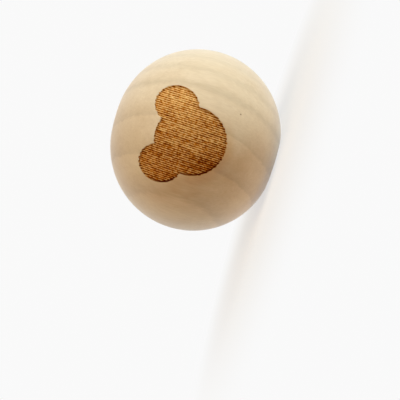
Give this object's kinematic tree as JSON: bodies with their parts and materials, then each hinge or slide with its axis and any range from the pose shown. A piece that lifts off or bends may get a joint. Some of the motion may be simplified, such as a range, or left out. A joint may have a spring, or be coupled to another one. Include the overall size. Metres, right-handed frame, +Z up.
{
  "type": "wooden bead",
  "caption": "Turned, slightly flattened round wooden bead with a bore and a bear's head engraved on one side.",
  "frame": {"origin": "centre of the bore on the flat end that the bead stands on", "axes": "+Z up along the bore, -Y the way the engraved bear faces, +X to the bear's left"},
  "size_m": [0.02, 0.0198, 0.0176],
  "materials": {
    "wood": "bare pale wood, finely sanded, satin"
  },
  "bodies": {
    "root": {"bead": "wood"}
  },
  "joints": []
}
